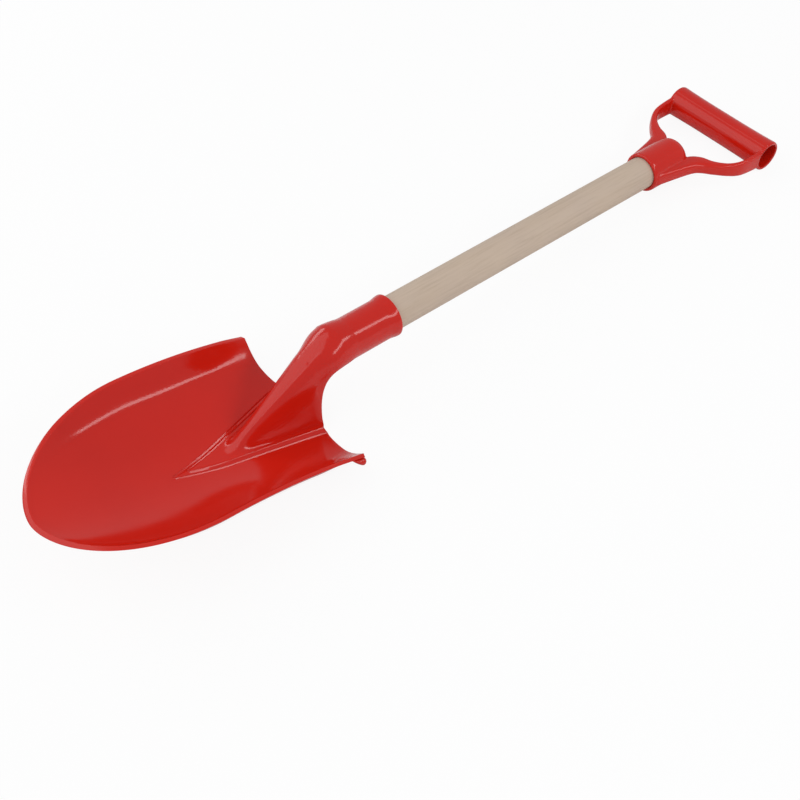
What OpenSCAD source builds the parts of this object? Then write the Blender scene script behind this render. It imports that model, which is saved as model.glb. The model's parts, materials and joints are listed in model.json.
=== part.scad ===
// Child's sand shovel: a moulded scoop, a round wooden shaft and a moulded D-shaped grip.
// +X runs from the tip of the blade to the grip, and +Z is up, with the hollow of the blade on top.
// The shovel lies on the ground on the heel of its blade and on its grip, and the origin is on the
// ground below the middle of it.
// The pieces are drawn along the shaft's own axis first, with x = 0 at the mouth of the blade's
// socket, and the whole shovel is then laid down.

/* [Shaft] */
// Diameter of the wooden dowel
shaft_d = 22; // [18:0.5:28]
// Bare wood between the two sockets
shaft_bare_l = 223.5; // [120:0.5:600]
// Chamfer on both ends of the dowel
shaft_chamfer = 1; // [0.5:0.1:2]

/* [Sockets] */
// Wall of the blade's socket
socket_wall = 1.8; // [1.6:0.1:3]
// Wall of the grip's socket
grip_wall = 2.6; // [2.2:0.1:3.6]
// Clearance all round the dowel in its sockets
socket_fit = 0.1; // [0.05:0.05:0.3]
// Depth that the dowel reaches into the blade's socket
blade_socket_l = 40; // [25:1:55]
// Depth that the dowel reaches into the grip's socket
grip_socket_l = 32; // [25:1:50]
// Thickness of the closed end of both sockets
socket_floor = 3; // [2:0.5:5]
// How far the blade socket flares out at its mouth
bead_h = 0.9; // [0.3:0.1:1.5]
// Length of that flare
bead_l = 7; // [4:0.5:10]
// Rounding of the lip of the blade's socket
lip_r = 0.8; // [0.4:0.1:1.2]
// Rounding of the mouth of the grip's socket
mouth_r = 1.2; // [0.5:0.1:1.6]

/* [Blade] */
// Length of the blade from its tip to its back edge
blade_l = 175.5; // [140:0.5:220]
// Width of the blade
blade_w = 121; // [100:1:150]
// Length of the rounded nose
nose_l = 84; // [70:1:100]
// Wall of the moulding
blade_wall = 2.2; // [1.8:0.1:2.8]
// From the back edge to the mouth of the socket
neck_l = 66; // [62:0.5:80]
// Depth of the tip below the shaft's axis
tip_drop = 6.8; // [2:0.2:12]
// Depth of the highest stretch of the rim below the axis
rim_drop = 5.3; // [1:0.1:8]
// Depth of the rim at the shoulders
shoulder_drop = 25.5; // [18:0.5:30]
// Depth of the floor below the axis
floor_drop = 39.5; // [34:0.5:46]
// Length of the ramp from the floor up to the tip
ramp_l = 115; // [100:1:135]
// Lean of the side walls from the level
wall_angle = 58; // [50:1:70]
// Lean of the walls at the shoulders
shoulder_angle = 44; // [38:1:56]
// Reach of the fillet between floor and wall, to each side of the knee
fillet = 3.5; // [2:0.5:5]
// How far the back edge curves in between shoulder and neck
back_scallop = 1.4; // [0:0.2:5]

/* [Raised V] */
// From the back edge to the point of the raised V
vee_l = 91; // [75:1:100]
// Half the angle between its arms
vee_angle = 15.2; // [13:0.1:17]
// Height of its ledge
ledge_h = 1.4; // [0.6:0.1:2]
// Width of the ledge's slope
ledge_w = 3.3; // [2:0.1:4.5]
// From the back edge to where the ridge of the neck fades out
ridge_l = 54; // [44:1:60]
// Level strip beside the foot of the ridge, at the back edge
ridge_step = 3.5; // [2:0.5:6]
// How much further back the foot of the neck is than the back edge beside it
neck_lead = 2.2; // [0:0.2:4]
// How far the neck swells over the end of the socket
neck_swell = 1.7; // [0.6:0.1:2.2]
// From the socket's closed end to the bend of the neck
crest_lag = 4; // [2:0.5:8]
// Thickness of the rib under the neck
rib_t = 2.4; // [1.6:0.2:4]

/* [Step corners] */
// Radius of the rolled corner under each shoulder
roll_r = 2.6; // [2:0.2:3.4]

/* [Grip] */
// Width of the grip, end to end of its bar
bar_l = 84; // [74:1:100]
// Diameter of the bar in its middle
bar_d = 20.6; // [19.6:0.2:25]
// How much the bar grows to each end, on the radius
bar_flare = 0.6; // [0.2:0.1:1.2]
// Diameter of the hollow through the bar
bar_bore_d = 17.4; // [13:0.2:17.4]
// From the mouth of the grip's socket to the axis of the bar
grip_reach = 84.5; // [80:0.5:98]
// Height of the two arms
arm_h = 9; // [7:0.5:12]
// Height of the arms where they join the bar
arm_end_h = 14; // [10:0.5:18]

/* [Nails] */
// Diameter of the nails that hold the dowel
nail_d = 2; // [1.6:0.1:2.6]
// Length of the nails
nail_l = 12; // [9:0.5:14]
// Diameter of their heads
nail_head_d = 5; // [4:0.2:6]
// Height of their heads
nail_head_h = 1.2; // [0.8:0.1:1.6]
// Distance of each nail from the mouth of its socket
nail_in = 14; // [9:0.5:20]

/* [Hidden] */
$fn = 56;
over = 1;
nail_fit = 0.1;
end_gap = 1;

red = [0.80, 0.12, 0.11];
wood = [0.80, 0.74, 0.66];
steel = [0.72, 0.73, 0.74];

// Sizes that several pieces share
bore_r = shaft_d / 2 + socket_fit;
tube_r = bore_r + socket_wall;
grip_r = bore_r + grip_wall;
blade_tube_l = blade_socket_l + end_gap + socket_floor;
grip_tube_l = grip_socket_l + end_gap + socket_floor;
back_x = -neck_l;
tip_x = back_x - blade_l;
bar_x = shaft_bare_l + grip_reach;
half_w = blade_w / 2;
vee_k = tan(vee_angle);

function mix(a, b, t) = a + (b - a) * t;
function clamp01(t) = max(0, min(1, t));
function ease(t) = let(c = clamp01(t)) c * c * (3 - 2 * c);
// A bend between a level run and a slope, rounded over b to each side
function soft(t, b) = t <= -b ? 0 : t >= b ? t : (t + b) * (t + b) / (4 * b);

// Blade. It is drawn as the sheet of its upper face, in s, the distance from that face's tip; the
// wall lies below and outside it.
sheet_tip_x = tip_x + blade_wall;
sheet_l = back_x - sheet_tip_x;
sheet_w = half_w - blade_wall;

// Half the width of the sheet: a blunt ellipse, and then straight sides; and its inverse
nose_power = 1.75;
least = 0.001;
function half_width(s) =
    let(t = clamp01(1 - s / nose_l)) max(least, sheet_w * pow(1 - t * t, 1 / nose_power));
function rim_s(y) = nose_l * (1 - sqrt(1 - pow(y / sheet_w, nose_power)));

// Height of the rim: a shallow arch that falls to the shoulders
rim_peak_share = 0.355;
function rim_z(s) =
    let(p = rim_peak_share * sheet_l)
    s < p ? -rim_drop - (tip_drop - rim_drop) * pow((p - s) / p, 2)
          : -rim_drop - (shoulder_drop - rim_drop) * pow((s - p) / (sheet_l - p), 2);

// Height of the floor: level under the neck, and a ramp up to the tip
ramp_power = 1.5;
function floor_z(s) =
    -floor_drop + (floor_drop - tip_drop) * pow(clamp01(1 - s / ramp_l), ramp_power);

// The side walls stand between the knee and the rim, and lean out more at the shoulders
shoulder_l_share = 0.17;
wall_w_shares = [0.125, 0.18];
fillet_limit_share = 0.8;
function shoulder(s) = ease((s / sheet_l - 1) / shoulder_l_share + 1);
function lean(s) = mix(wall_angle, shoulder_angle, shoulder(s));
function wall_w(s) = half_width(s) * mix(wall_w_shares[0], wall_w_shares[1], shoulder(s));
function knee_y(s) = half_width(s) - wall_w(s);
function knee_h(s) = rim_z(s) - floor_z(s) - wall_w(s) * tan(lean(s));
function fillet_w(s) = min(fillet * (1 + shoulder(s)), fillet_limit_share * wall_w(s));

// Height of the dish at y: a curved floor up to the knee and straight walls above it. Towards the
// tip the walls run out into one curve.
function dish_z(s, y) =
    let(
        z0 = floor_z(s), curve = knee_h(s) * pow(y / knee_y(s), 2),
        wall = rim_z(s) - z0 - (half_width(s) - y) * tan(lean(s)),
        bend = max(least, fillet_w(s) * (tan(lean(s)) - 2 * knee_h(s) / knee_y(s))),
        walled = curve + soft(wall - curve, bend),
        plain = (rim_z(s) - z0) * pow(y / half_width(s), 2)
    )
    z0 + mix(plain, walled, ease(s / nose_l));

// Half the width of the raised V at its foot and at the top of its ledge. The columns of points
// fan out ahead of the V.
fan_shares = [0.4, 0.08];
ledge_top_share = 0.7;
vee_s = sheet_l - vee_l;
ledge_s = vee_s + ledge_w / sin(vee_angle);
function fan(s) = mix(fan_shares[0], fan_shares[1], ease(s / vee_s)) * half_width(s);
function foot_y(s) = max(vee_k * (s - vee_s), fan(s));
function top_y(s) = max(vee_k * (s - ledge_s), fan(s) * ledge_top_share);
function ledge_z(s, y) = ledge_h * clamp01((vee_k * (s - vee_s) - y) * cos(vee_angle) / ledge_w);

// The neck's crest: down a straight slope from the top of the socket to the point of the ridge
neck_top = tube_r + neck_swell;
crest_bend = 6;
ridge_bend = 3;
bend_x = -blade_tube_l - crest_lag;
ridge_x = back_x - ridge_l;
crest_slope = (neck_top + floor_drop - ledge_h) / (bend_x - ridge_x);
function crest_z(x) = neck_top - soft(crest_slope * (bend_x - x), crest_bend);
function ridge_h(s) = soft(crest_z(sheet_tip_x + s) - floor_z(s) - ledge_h, ridge_bend);

// The ridge's section: a narrow wave at its point, and a blunt arch with a soft foot at the back
// edge, where a level strip is left beside it
arch_power = 3.3;
arch_foot = 1.35;
wave_power = 2;
wave_foot = 1.7;
ridge_foot_share = 0.94;
function grown(s) = ease((s - sheet_l + ridge_l) / ridge_l);
function ridge_y(s) = mix(ridge_foot_share * top_y(s), top_y(s) - ridge_step, grown(s));
function lead(s, y) =
    neck_lead * shoulder(s) * (1 - ease((y - ridge_y(s)) / (top_y(s) - ridge_y(s))));
function ridge_z(s, y) =
    let(t = grown(s), v = min(1, y / ridge_y(s)))
    ridge_h(s + lead(s, y)) * pow(1 - pow(v, mix(wave_power, arch_power, t)), mix(wave_foot, arch_foot, t));

function sheet_z(s, y) = dish_z(s, y) + ledge_z(s, y) + ridge_z(s, y);

// Columns of points across half the blade, from the middle to the rim
ridge_n = 9;
ledge_n = 2;
floor_n = 5;
fillet_n = 5;
wall_n = 2;
across = ridge_n + 1 + ledge_n + floor_n + fillet_n + wall_n;
function columns(s) =
    let(a = top_y(s), b = foot_y(s), c = knee_y(s) - fillet_w(s), d = knee_y(s) + fillet_w(s))
    concat(
        [for (i = [0:ridge_n]) ridge_y(s) * i / ridge_n],
        [for (i = [0:ledge_n]) mix(a, b, i / ledge_n)],
        [for (i = [1:floor_n]) mix(b, c, i / floor_n)],
        [for (i = [1:fillet_n]) mix(c, d, i / fillet_n)],
        [for (i = [1:wall_n]) mix(d, half_width(s), i / wall_n)]);

// Rows of points along the blade, at s on the rim. The first row is the front of the rim itself,
// and the rows behind it straighten little by little.
first_s = 12;
nose_n = 12;
body_n = 14;
rows = concat(
    [for (i = [0:nose_n - 1]) mix(first_s, nose_l, i / nose_n)],
    [for (i = [0:body_n]) mix(nose_l, sheet_l, i / body_n)]);
function sag(s) = first_s * (1 - ease((s - first_s) / (nose_l - first_s)));
function front(v) = rim_s(v * half_width(first_s)) / first_s;

// The back edge curves in between the foot of the neck and the shoulder
scallop_power = 0.7;
function scallop(s, y) =
    let(v = clamp01((y - foot_y(sheet_l)) / (sheet_w - foot_y(sheet_l))))
    back_scallop * shoulder(s) * sin(180 * pow(v, scallop_power));

blade_rows = [for (r = rows)
    let(ys = columns(r))
    [for (j = [-across:across])
        let(y = ys[abs(j)], s = r - sag(r) * (1 - front(y / half_width(r))))
        [sheet_tip_x + s - scallop(s, y) + lead(s, y), sign(j) * y, sheet_z(s, y)]]];
// Normal of the sheet round the nose, from its slopes just behind and just inside each point
probe = 0.2;
function nose_normal(x, y) =
    let(
        s = x - sheet_tip_x, a = abs(y), z = sheet_z(s, a),
        dx = (sheet_z(s + probe, a) - z) / probe,
        dy = sign(y) * (z - sheet_z(s, max(0, a - probe))) / probe,
        n = [-dx, -dy, 1]
    )
    n / norm(n);

// The neck goes on from the back edge to the socket, open below. Its lower edge sweeps up from the
// floor to the underside of the socket as a quarter of an ellipse.
edge_n = 9;
edge_drop_share = 0.3;
edge_drop = edge_drop_share * tube_r;
neck_x = back_x + neck_lead;
arch_w = ridge_y(sheet_l);
arch_z = sheet_z(sheet_l, arch_w);
arch_h = crest_z(neck_x) - arch_z;
function edge_z(x) =
    let(a = asin((bend_x - x) / (bend_x - neck_x))) mix(-edge_drop, arch_z, 1 - cos(a));
function arch_y(h) = arch_w * pow(1 - pow(1 - min(1, h / arch_h), 1 / arch_foot), 1 / arch_power);
function round_y(h, r) = sqrt(max(0, h * (2 * r - h)));
function drop_share(u, t) = mix(u, 1 - pow(1 - u, arch_foot), t);
function neck_row(x, crest, low, r, t) =
    [for (j = [-ridge_n:ridge_n])
        let(h = (crest - low) * drop_share(pow(abs(j) / ridge_n, arch_power), t))
        [x, sign(j) * mix(round_y(h, r), arch_y(h), t), crest - h]];
// Rows over the end of the socket, where the neck sinks into the socket's wall
lap = 6;
lap_n = 3;
lap_shares = [0.1, 0.45, 1];
sink_share = 0.25;
neck_rows = concat(
    [for (i = [1:edge_n])
        let(x = mix(bend_x, neck_x, cos(90 * i / edge_n)))
        neck_row(x, crest_z(x), edge_z(x), neck_top, ease((bend_x - x) / (bend_x - neck_x)))],
    [for (i = [1:lap_n])
        let(x = bend_x + i * lap, sink = lap_shares[i - 1] * (neck_swell + sink_share * socket_wall))
        neck_row(x, crest_z(x) - sink, -edge_drop, neck_top - sink, 0)]);

// The moulding is a shell of constant wall under one sheet of points: the blade's rows right
// across, and then the neck's rows. The lower side is the sheet pushed down along its own normal.
last_row = len(rows) - 1;
all_rows = last_row + len(neck_rows);
function reach(i) = i <= last_row ? across : ridge_n;
function sheet(i, j) =
    let(r = max(0, min(all_rows, i)), c = max(-reach(r), min(reach(r), j)))
    r <= last_row ? blade_rows[r][c + across] : neck_rows[r - last_row - 1][c + ridge_n];
function along(i, j) =
    let(next = abs(j) > ridge_n ? min(i + 1, last_row) : i + 1) sheet(next, j) - sheet(i - 1, j);
function normal(i, j) =
    let(n = cross(along(i, j), sheet(i, j + 1) - sheet(i, j - 1)))
    i < nose_n ? nose_normal(sheet(i, j)[0], sheet(i, j)[1]) : n / norm(n);

cells = [for (i = [0:all_rows]) for (j = [-reach(i):reach(i)]) [i, j]];
wide = 2 * across + 1;
narrow = 2 * ridge_n + 1;
function index(i, j) =
    i <= last_row ? i * wide + j + across
                  : (last_row + 1) * wide + (i - last_row - 1) * narrow + j + ridge_n;
under = len(cells);
// Round the blade's rim the lower side runs on up the wall, so that the rim is level, or nearly so
// where the blade is shallow.
rim_cut_share = 0.8;
function is_rim(i, j) = i == 0 || (i <= last_row && abs(j) == across);
function below(i, j) =
    let(n = normal(i, j), h = norm([n[0], n[1]]),
        up = [-n[0] * n[2] / h, -n[1] * n[2] / h, h],
        cut = is_rim(i, j) ? min(n[2] / h, rim_cut_share) : 0)
    sheet(i, j) + blade_wall * (cut * up - n);
shell_points = concat(
    [for (c = cells) sheet(c[0], c[1])],
    [for (c = cells) below(c[0], c[1])]);
// The cell between rows i and i + 1 and columns j and j + 1, above and below
function cell_faces(i, j) =
    let(a = index(i, j), b = index(i + 1, j), c = index(i + 1, j + 1), d = index(i, j + 1))
    [[a, c, b], [a, d, c],
     [a + under, b + under, c + under], [a + under, c + under, d + under]];
// The edge of the sheet, walked round once, closes the shell
rim_walk = concat(
    [for (j = [-across:across - 1]) [0, j]],
    [for (i = [0:last_row - 1]) [i, across]],
    [for (j = [across:-1:ridge_n + 1]) [last_row, j]],
    [for (i = [last_row:all_rows - 1]) [i, ridge_n]],
    [for (j = [ridge_n:-1:-ridge_n + 1]) [all_rows, j]],
    [for (i = [all_rows:-1:last_row + 1]) [i, -ridge_n]],
    [for (j = [-ridge_n:-1:-across + 1]) [last_row, j]],
    [for (i = [last_row:-1:1]) [i, -across]]);
shell_faces = concat(
    [for (i = [0:all_rows - 1])
        for (j = [-min(reach(i), reach(i + 1)):min(reach(i), reach(i + 1)) - 1])
            each cell_faces(i, j)],
    [for (k = [0:len(rim_walk) - 1])
        let(p = rim_walk[k], q = rim_walk[(k + 1) % len(rim_walk)],
            a = index(p[0], p[1]), b = index(q[0], q[1]))
        each [[a, b + under, b], [a, a + under, b + under]]]);

// A solid turned about the shaft's axis, from a profile of [x, radius] points
module turned(profile) {
    rotate([0, 90, 0])
        rotate_extrude()
            polygon([for (p = profile) [p[1], p[0]]]);
}

function arc(cx, cr, rx, rr, a0, a1, n) =
    [for (i = [0:n]) let(a = mix(a0, a1, i / n)) [cx + rx * cos(a), cr + rr * sin(a)]];

arc_n = 4;
lip_n = 2;
lip_turn = 60;
module blade_tube() {
    turned(concat(
        [[-blade_tube_l, 0], [-blade_tube_l, tube_r]],
        [for (i = [0:arc_n])
            [-lip_r - bead_l * (1 - i / arc_n), tube_r + bead_h * ease(i / arc_n)]],
        arc(-lip_r, tube_r + bead_h - lip_r, lip_r, lip_r, lip_turn, 0, lip_n),
        [[0, 0]]));
}

module dowel_bore(from_x, depth) {
    translate([from_x, 0, 0])
        rotate([0, 90, 0])
            cylinder(r = bore_r, h = depth);
}

// The hole for a nail through the underside of a socket, with a flat seat for its head
seat_d = 0.6;
module nail_hole(x, r) {
    translate([x, 0, -r])
        cylinder(r = nail_d / 2 + nail_fit, h = r);
    translate([x, 0, -r - over])
        cylinder(d = nail_head_d + 2 * nail_fit, h = seat_d + over);
}

// The rib under the neck, from the socket's closed end to where the ridge is low
rib_n = 12;
rib_sink_share = 0.5;
rib_h_share = 0.55;
rib_l_share = 0.6;
function foot_z(x) = x < neck_x ? floor_z(x - sheet_tip_x) : x < bend_x ? edge_z(x) : -edge_drop;
module neck_rib() {
    start = back_x - rib_l_share * ridge_l;
    xs = [for (i = [0:rib_n]) mix(start, -blade_tube_l + over, i / rib_n)];
    rotate([90, 0, 0])
        linear_extrude(height = rib_t, center = true)
            polygon(concat(
                [for (x = xs) [x, crest_z(x) - rib_sink_share * blade_wall]],
                [for (i = [rib_n:-1:0])
                    [xs[i], mix(crest_z(xs[i]) - blade_wall, foot_z(xs[i]), rib_h_share)]]));
}

// The rolled corner under each shoulder: a bead that grows out of the wall over the last rows
roll_rows = 2;
roll_shares = [-1, -0.5, -0.4];
point_fn = 12;
ball_fn = 20;
module rolled_corner(side) {
    tail = index(last_row - roll_rows, side * across);
    corner = shell_points[under + index(last_row, side * across)];
    hull() {
        translate((shell_points[tail] + shell_points[under + tail]) / 2)
            sphere(d = blade_wall / 2, $fn = point_fn);
        translate(corner + roll_r * [roll_shares[0], side * roll_shares[1], roll_shares[2]])
            sphere(r = roll_r, $fn = ball_fn);
    }
}

module blade() {
    color(red)
        laid_down()
            difference() {
                union() {
                    polyhedron(points = shell_points, faces = shell_faces);
                    blade_tube();
                    neck_rib();
                    rolled_corner(1);
                    rolled_corner(-1);
                }
                dowel_bore(-blade_socket_l - end_gap, blade_socket_l + end_gap + over);
                nail_hole(-nail_in, tube_r);
            }
}

module shaft() {
    a = -blade_socket_l;
    b = shaft_bare_l + grip_socket_l;
    r = shaft_d / 2;
    c = shaft_chamfer;
    color(wood)
        laid_down()
            difference() {
                turned([[a, 0], [a, r - c], [a + c, r], [b - c, r], [b, r - c], [b, 0]]);
                pilot_hole(-nail_in, tube_r);
                pilot_hole(shaft_bare_l + nail_in, grip_r);
            }
}

module pilot_hole(x, r) {
    translate([x, 0, -r])
        cylinder(r = nail_d / 2 + nail_fit, h = seat_d + nail_l + end_gap);
}

// Grip

dome_r = 8;
module grip_tube() {
    a = shaft_bare_l;
    b = shaft_bare_l + grip_tube_l;
    turned(concat(
        [[a, 0]],
        arc(a + mouth_r, grip_r - mouth_r, mouth_r, mouth_r, 180, 90, arc_n),
        arc(b - dome_r, grip_r - dome_r, dome_r, dome_r, 90, 0, arc_n),
        [[b, 0]]));
}

bar_edge_r = 0.8;
bar_steps = 4;
flare_power = 3;
bar_end_r = bar_d / 2 + bar_flare;
module bar() {
    half = bar_l / 2;
    straight = half - bar_edge_r;
    side = [for (i = [-bar_steps:bar_steps])
        let(v = i / bar_steps)
        [v * straight, bar_d / 2 + bar_flare * pow(abs(v), flare_power)]];
    translate([bar_x, 0, 0])
        rotate([0, 0, 90])
            turned(concat(
                [[-half, 0], [-half, bar_end_r - bar_edge_r]],
                side,
                [[half, bar_end_r - bar_edge_r], [half, 0]]));
}

module bar_bore() {
    translate([bar_x, 0, 0])
        rotate([90, 0, 0])
            cylinder(d = bar_bore_d, h = bar_l + 2 * over, center = true);
}

// The arms, in plan: shares along from the socket's mouth to the bar's axis, and shares across
// from the socket's side to the end of the bar
arm_outer_shares = [[0.03, 0.018], [0.225, 0.138], [0.373, 0.254], [0.432, 0.364], [0.497, 0.569],
    [0.586, 0.802], [0.686, 0.951], [0.83, 0.993], [0.953, 0.993]];
arm_inner_shares = [[0.03, -0.131], [0.225, -0.131], [0.408, -0.166], [0.507, 0.046], [0.546, 0.371],
    [0.617, 0.668], [0.71, 0.823], [0.83, 0.859], [0.953, 0.859]];
function plan(p) =
    [shaft_bare_l + p[0] * grip_reach, grip_r + p[1] * (bar_l / 2 - grip_r)];
// A smooth curve through the points, n steps between each two
function pick(p, i) = p[max(0, min(len(p) - 1, i))];
function spline(p, n) =
    [for (k = [0:n * (len(p) - 1)])
        let(i = floor(k / n), t = k / n - i,
            a = pick(p, i - 1), b = pick(p, i), c = pick(p, i + 1), d = pick(p, i + 2))
        (2 * b + (c - a) * t + (2 * a - 5 * b + 4 * c - d) * t * t
            + (3 * b - a - 3 * c + d) * t * t * t) / 2];
arm_steps = 3;
arm_sides = 16;
arm_square = 0.6;
arm_grow_share = 0.5;
function blunt(c) = sign(c) * pow(abs(c), arm_square);
module arm(side) {
    outer = spline([for (p = arm_outer_shares) plan(p)], arm_steps);
    inner = spline([for (p = arm_inner_shares) plan(p)], arm_steps);
    n = len(outer) - 1;
    points = [for (i = [0:n])
        let(mid = (outer[i] + inner[i]) / 2, reach = (outer[i] - inner[i]) / 2,
            h = mix(arm_h, arm_end_h, ease((i / n - arm_grow_share) / (1 - arm_grow_share))) / 2)
        for (k = [0:arm_sides - 1])
            let(a = 360 * k / arm_sides, p = mid + blunt(cos(a)) * reach)
            [p[0], side * p[1], h * blunt(sin(a))]];
    function flip(f) = side > 0 ? f : [for (i = [len(f) - 1:-1:0]) f[i]];
    faces = concat(
        [flip([for (k = [0:arm_sides - 1]) k])],
        [flip([for (k = [arm_sides - 1:-1:0]) n * arm_sides + k])],
        [for (i = [0:n - 1]) for (k = [0:arm_sides - 1])
            let(a = i * arm_sides + k, b = i * arm_sides + (k + 1) % arm_sides)
            each [flip([a, a + arm_sides, b]), flip([b, a + arm_sides, b + arm_sides])]]);
    polyhedron(points = points, faces = faces);
}

module grip() {
    color(red)
        laid_down()
            difference() {
                union() {
                    grip_tube();
                    bar();
                    arm(1);
                    arm(-1);
                }
                dowel_bore(shaft_bare_l - over, grip_socket_l + end_gap + over);
                bar_bore();
                nail_hole(shaft_bare_l + nail_in, grip_r);
            }
}

// Nails, driven from below through each socket into the dowel
nail_point_share = 0.2;
nail_fn = 20;
module nail(x, r) {
    color(steel)
        laid_down()
            translate([x, 0, seat_d - r])
                rotate_extrude($fn = nail_fn)
                    polygon(concat(
                        [[0, nail_l], [nail_d / 2, nail_l * (1 - nail_point_share)],
                         [nail_d / 2, 0], [nail_head_d / 2, 0]],
                        [for (i = [0:arc_n])
                            let(a = 90 * i / arc_n)
                            [nail_head_d / 2 * cos(a), -nail_head_h * sin(a)]]));
}

module blade_nail() {
    nail(-nail_in, tube_r);
}

module grip_nail() {
    nail(shaft_bare_l + nail_in, grip_r);
}

// Laying the shovel down: the line on which it rests touches the heel of the blade and the bar
heel = shell_points[under + index(last_row, ridge_n + 1 + ledge_n)];
rest_dx = bar_x - heel[0];
rest_dz = -heel[2];
rest_tilt = atan2(rest_dz, rest_dx) - asin(bar_end_r / norm([rest_dx, rest_dz]));
function laid_x(p) = p[0] * cos(rest_tilt) + p[2] * sin(rest_tilt);
function laid_z(p) = p[2] * cos(rest_tilt) - p[0] * sin(rest_tilt);
first_x = min([for (p = shell_points) laid_x(p)]);
final_x = bar_x * cos(rest_tilt) + bar_end_r;
module laid_down() {
    translate([-(first_x + final_x) / 2, 0, -laid_z(heel)])
        rotate([0, rest_tilt, 0])
            children();
}

blade();
shaft();
grip();
blade_nail();
grip_nail();
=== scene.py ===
# %% [markdown]
# # A child's sand shovel
# A moulded scoop, a round wooden shaft, a moulded D-shaped grip and the two nails that hold them
# together. The frame has a plain solid for each. The scoop, the shaft and the grip are built again
# here, in the same place and to the same sizes, with the roundings, the walls and the finish of
# the real thing. All lengths are metres.

# %% Load the frame
import json
import math

import bmesh
import bpy
from mathutils import Matrix, Vector


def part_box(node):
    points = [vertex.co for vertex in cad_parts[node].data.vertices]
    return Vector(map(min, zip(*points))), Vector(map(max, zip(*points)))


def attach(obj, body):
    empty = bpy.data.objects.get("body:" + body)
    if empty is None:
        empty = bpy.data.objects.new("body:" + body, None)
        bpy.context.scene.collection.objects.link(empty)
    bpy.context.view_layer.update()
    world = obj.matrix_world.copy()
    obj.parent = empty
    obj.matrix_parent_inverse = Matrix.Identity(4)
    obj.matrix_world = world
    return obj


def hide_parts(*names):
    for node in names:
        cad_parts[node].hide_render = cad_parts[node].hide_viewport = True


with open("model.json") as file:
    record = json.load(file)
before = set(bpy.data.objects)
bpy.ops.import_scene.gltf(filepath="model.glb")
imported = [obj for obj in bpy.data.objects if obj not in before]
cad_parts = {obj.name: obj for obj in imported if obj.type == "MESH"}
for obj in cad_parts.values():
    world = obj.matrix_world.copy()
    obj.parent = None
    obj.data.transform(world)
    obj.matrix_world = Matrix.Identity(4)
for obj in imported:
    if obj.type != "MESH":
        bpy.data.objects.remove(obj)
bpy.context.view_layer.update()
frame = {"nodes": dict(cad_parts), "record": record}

# %% [markdown]
# ## The line of the shaft
# The shovel lies on the heel of its scoop and on its grip, so its shaft is tilted. The pieces could
# be drawn tilted from the start, but on a level shaft every section is square to X, so they are
# drawn level and laid down at the end. X is then 0 at the mouth of the scoop's socket. The frame
# gives the two points that fix the line: the middle of the dowel, which is also the middle of its
# box, and the middle of the grip's bar, which is stated in the record.

# %% Find the shaft's line in the frame
SHAFT_R = 0.011
BARE_L = 0.2235
BLADE_SOCKET_L = 0.040
GRIP_SOCKET_L = 0.032
BAR_X = 0.308

low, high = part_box("shaft")
dowel_middle = (low + high) / 2
mount = next(m for m in frame["record"]["mounts"] if m["name"] == "bar_bore")
bar_middle = Vector(mount["pos_m"])
ahead = (bar_middle - dowel_middle).normalized()
side = Vector((0, 1, 0))
laid_down = Matrix((ahead, side, ahead.cross(side))).transposed().to_4x4()
laid_down.translation = bar_middle - BAR_X * ahead
print("tilt", round(math.degrees(math.asin(-ahead.z)), 2), "degrees")

# %% [markdown]
# ## Helpers for solid pieces
# A moulding is easiest to think of as simple solids that are joined and then drilled. Boolean
# modifiers do that, and `settle` takes the finished mesh out of the modifier stack. A modifier
# could stay live instead, but the next step needs the joined mesh, and the joined solids can be
# removed only once it is plain.

# %% Make, join and drill solids
MERGE_WITHIN = 1e-7


def made(bm, name):
    """A new object from a bmesh, with its doubles merged and its faces turned outwards."""
    bmesh.ops.remove_doubles(bm, verts=bm.verts, dist=MERGE_WITHIN)
    bmesh.ops.recalc_face_normals(bm, faces=bm.faces)
    mesh = bpy.data.meshes.new(name)
    bm.to_mesh(mesh)
    bm.free()
    piece = bpy.data.objects.new(name, mesh)
    bpy.context.scene.collection.objects.link(piece)
    return piece


def settle(piece):
    """Turns the modifiers of a piece into plain mesh."""
    depsgraph = bpy.context.evaluated_depsgraph_get()
    mesh = bpy.data.meshes.new_from_object(piece.evaluated_get(depsgraph))
    piece.modifiers.clear()
    piece.data = mesh


def combine(base, others, operation):
    """Joins the others to the base, or takes them away from it."""
    for other in others:
        step = base.modifiers.new(other.name, "BOOLEAN")
        step.operation = operation
        step.solver = "EXACT"
        step.object = other
    settle(base)
    for other in others:
        bpy.data.objects.remove(other)
    return base


print("helpers: made, settle, combine")

# %% [markdown]
# A finished piece is laid down in its mesh, so its object stays at the origin, unturned. It is
# shaded smooth, apart from edges that turn sharply, such as the rim of the bore. Then it rides on
# the frame's one body, stands for its solid, and takes the finish it is given.

# %% Finish a piece
SHARP_ANGLE = 32


def finish_piece(piece, name, material, node):
    """Lays a piece down, shades it and lets it stand for its solid in the frame."""
    piece.data.transform(laid_down)
    piece.name = name
    piece.data.name = name
    piece.data.shade_smooth()
    piece.data.set_sharp_from_angle(angle=math.radians(SHARP_ANGLE))
    piece.data.materials.clear()
    piece.data.materials.append(material)
    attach(piece, "root")
    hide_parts(node)
    print(name, len(piece.data.polygons), "faces")


print("edges that turn by more than", SHARP_ANGLE, "degrees stay sharp")

# %% [markdown]
# ## Turned pieces
# The sockets, the dowel and the bar of the grip are all round. A plain cylinder would need its ends
# and its swells bevelled and scaled afterwards, so each is a profile instead, a chain of a few
# vertices that is spun once about its own line. A full spin merges its last step with its first.

# %% Spin a profile about the shaft's line
ROUND_STEPS = 96


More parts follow.
